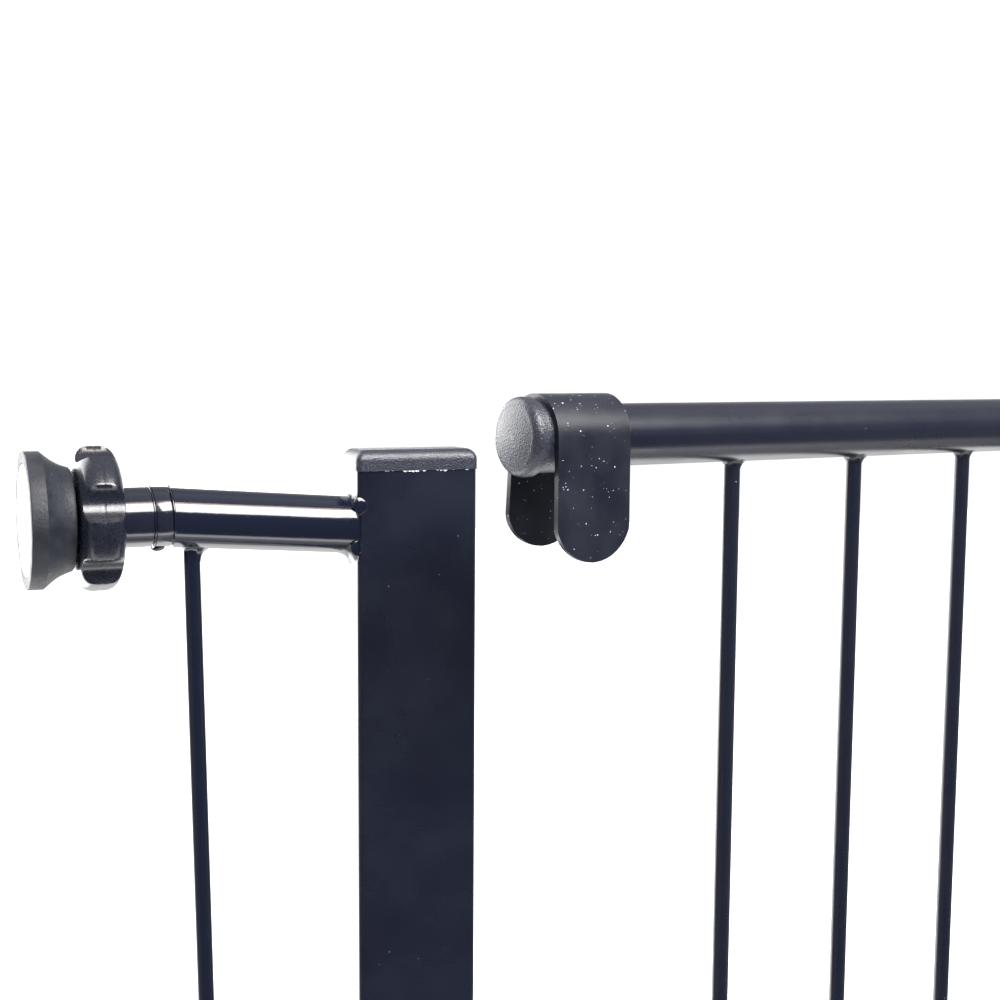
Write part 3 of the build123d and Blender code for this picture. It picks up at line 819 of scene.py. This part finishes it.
def makeChips(side, seed):
    c = chipShape
    low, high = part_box(f"{side}_post")
    verts, faces = [], []
    front = low.y - c["proud"]
    top = high.z + c["above"]
    steps = c["steps"]
    for index, (start, length, height) in enumerate(chips):
        x = low.x + start * mm if seed == 0 else high.x - start * mm * c["rightScale"]
        first = len(verts)
        for k in range(steps + 1):
            spot = Vector((index * c["apart"] + seed, k * c["along"], 0.5))
            ragged = c["least"] + c["ragged"] * noise.noise(spot)
            edge = sin(pi * (k + 0.6) / (steps + 1.2)) ** c["round"]
            across = x + length * mm * k / steps
            verts.append((across, front, top))
            verts.append((across, front, top - height * mm * edge * ragged * c["tall"]))
        for k in range(steps):
            a = first + 2 * k
            faces.append((a, a + 1, a + 3, a + 2))
    makePiece(f"{side}_coat_chips", verts, faces, finishes["bare_steel"], f"{side}_post", "frame_coat",
              smooth=False)


makeChips("left", 0)
makeChips("right", 5)
print("coat chips")


floorLook = {"half": 6.0, "glow": 0.55, "mottle": 60 * mm}


def makeFloor():
    half = floorLook["half"]
    mesh = bpy.data.meshes.new("studio_floor")
    rim = [(-half, -half, 0), (half, -half, 0), (half, half, 0), (-half, half, 0)]
    mesh.from_pydata(rim, [], [(0, 1, 2, 3)])
    floor = bpy.data.objects.new("studio_floor", mesh)
    bpy.context.scene.collection.objects.link(floor)
    # opal acrylic sheet on a light table: white, with hardly any shadow
    material, tree, shader, place = startMaterial("opal acrylic lit from below", "#DCDCDE", 0.7)
    shader["Emission Color"].default_value = hexColour("#FFFFFF")
    shader["Emission Strength"].default_value = floorLook["glow"]
    mottle = addNode(tree, "TexNoise", {**sized(place, floorLook["mottle"]), "Detail": 4.0})
    share = addNode(tree, "MapRange", between(mottle, 0.3, 0.7))
    tree.links.new(addNode(tree, "Mix", twoTones(share, "#DADADD", "#DDDDDE"), 2, data_type="RGBA"),
                   shader["Base Color"])
    mesh.materials.append(material)
    floor.visible_glossy = False        # the gate mirrors the studio below it, not the floor


# Brightness of the studio round the gate by angle over the top: 0 is the front, 90 the ceiling, 180 the back
studio = [(-180, 8.0), (-172, 8.0), (-165, 1.6), (-150, 1.6), (-112, 4.5), (-104, 1.6), (-80, 1.5),
          (-73, 1.7), (-71, 5.0), (-63, 5.0), (-59, 0.3), (-50, 0.12), (0, 0.12), (20, 0.16), (30, 1.6),
          (55, 1.6), (66, 0.7), (80, 0.75), (105, 0.85), (118, 0.5), (135, 0.4), (158, 0.65), (170, 1.2),
          (174, 8.0), (180, 8.0)]
studioLight = {"peak": 8.0, "backdrop": 1.1, "walls": 0.35, "seen": 1.05}
# where a part of the studio fades in and is full, measured along an axis of the direction looked in
studioEdges = {"backdropHeight": (-0.45, -0.2), "backdropRight": (0.2, 0.45), "backdropFar": (0.1, 0.3),
               "backdropTop": (0.1, 0.2), "walls": (0.70, 0.86), "screenLeft": (-0.15, -0.22),
               "screenFar": (0.35, 0.5), "screenRound": (-0.55, -0.42), "screenFoot": (-0.12, -0.06)}


def grey(level):
    share = level / studioLight["peak"]
    return (share, share, share, 1)


def makeStudio():
    world = bpy.data.worlds.new("studio")
    bpy.context.scene.world = world
    world.use_nodes = True
    tree = world.node_tree
    tree.nodes.clear()

    def fade(along, edge):
        return addNode(tree, "MapRange", between(along, *studioEdges[edge]))
    way = addNode(tree, "TexCoord", out="Generated")
    parts = addNode(tree, "SeparateXYZ", {"Vector": way}).node.outputs
    front = addNode(tree, "Math", {0: parts["Y"], 1: -1.0}, operation="MULTIPLY")
    turn = addNode(tree, "Math", {0: parts["Z"], 1: front}, operation="ARCTAN2")
    ramp = addNode(tree, "ValToRGB", {"Fac": addNode(tree, "MapRange", between(turn, -pi, pi))})
    stops = ramp.node.color_ramp.elements
    while len(stops) < len(studio):
        stops.new(0.5)
    for stop, (angle, level) in zip(stops, studio):
        stop.position = (angle + 180) / 360
        stop.color = grey(level)
    # the backdrop is dimmer level with the gate's right end, and the walls beside the gate are dim
    level = {0: fade(parts["Z"], "backdropHeight"), 1: fade(parts["X"], "backdropRight")}
    level = addNode(tree, "Math", level, operation="MULTIPLY")
    back = addNode(tree, "Math", {0: level, 1: fade(parts["Y"], "backdropFar")}, operation="MULTIPLY")
    weak = twoTones(fade(parts["Z"], "backdropTop"), grey(studioLight["backdrop"]), ramp)
    low = addNode(tree, "Mix", weak, 2, data_type="RGBA")
    ahead = addNode(tree, "Mix", twoTones(back, ramp, low), 2, data_type="RGBA")
    across = addNode(tree, "Math", {0: parts["X"]}, operation="ABSOLUTE")
    walls = twoTones(fade(across, "walls"), ahead, grey(studioLight["walls"]))
    walls = addNode(tree, "Mix", walls, 2, data_type="RGBA")
    # a tall white screen stands behind the gate on the left, and reaches further round above the bars
    screen = addNode(tree, "Math", {0: fade(parts["X"], "screenLeft"), 1: fade(parts["Y"], "screenFar")},
                     operation="MULTIPLY")
    reach = addNode(tree, "Math", {0: fade(parts["X"], "screenRound"), 1: fade(parts["Z"], "screenFoot")},
                    operation="MAXIMUM")
    share = addNode(tree, "Math", {0: screen, 1: reach}, operation="MULTIPLY")
    lit = addNode(tree, "Mix", twoTones(share, walls, grey(studioLight["peak"])), 2, data_type="RGBA")
    glow = addNode(tree, "Background", {"Color": lit, "Strength": studioLight["peak"]})
    plain = addNode(tree, "Background", {"Color": (1, 1, 1, 1), "Strength": studioLight["seen"]})
    seen = addNode(tree, "LightPath", out="Is Camera Ray")
    mix = addNode(tree, "MixShader", {0: seen, 1: glow, 2: plain})
    addNode(tree, "OutputWorld", {"Surface": mix})


def softBox(name, target, azimuth, elevation, distance, width, height, radiance, colour="#FFFFFF"):
    data = bpy.data.lights.new(name, "AREA")
    data.shape, data.size, data.size_y = "RECTANGLE", width, height
    data.energy = radiance * pi * width * height
    data.color = hexColour(colour)[:3]
    light = bpy.data.objects.new(name, data)
    a, e = radians(azimuth), radians(elevation)
    back = Vector((sin(a) * cos(e), -cos(a) * cos(e), sin(e)))
    light.location = Vector(target) + back * distance
    light.rotation_euler = back.to_track_quat("Z", "Y").to_euler()
    light.visible_camera = False
    bpy.context.scene.collection.objects.link(light)
    return light


camera = {"place": (-0.432035, -0.474064, 0.762800), "yaw": -23.8402, "pitch": -6.2980, "roll": 0.3432,
          "lens": 54.0, "sensor": 36.0, "shiftY": 0.03136, "near": 0.01}


def makeCamera():
    data = bpy.data.cameras.new("camera")
    data.lens, data.sensor_width, data.shift_y = camera["lens"], camera["sensor"], camera["shiftY"]
    data.clip_start = camera["near"]
    eye = bpy.data.objects.new("camera", data)
    eye.location = camera["place"]
    turn = Euler((radians(90 + camera["pitch"]), 0, radians(camera["yaw"]))).to_matrix()
    eye.rotation_euler = (turn @ Matrix.Rotation(radians(camera["roll"]), 3, "Z")).to_euler()
    bpy.context.scene.collection.objects.link(eye)
    bpy.context.scene.camera = eye


makeFloor()
makeStudio()
stubMiddle = (-0.31, 0.0, 0.712)
gateMiddle = (0, 0, 0.4)
softBox("front soft box", stubMiddle, azimuth=24, elevation=41.5, distance=1.4, width=0.95, height=0.76,
        radiance=24.0)
softBox("warm edge of the soft box", stubMiddle, azimuth=24, elevation=59.6, distance=1.4, width=0.95,
        height=0.085, radiance=12.0, colour="#FFDDBF")
overhead = softBox("overhead fill", gateMiddle, azimuth=0, elevation=90, distance=2.8, width=4.5, height=4.5,
                   radiance=2.0)
overhead.visible_glossy = False      # lifts the floor and soft shadows without a second streak on the tubes
makeCamera()
bpy.context.scene.view_settings.view_transform = "Standard"
print("floor, light and camera")
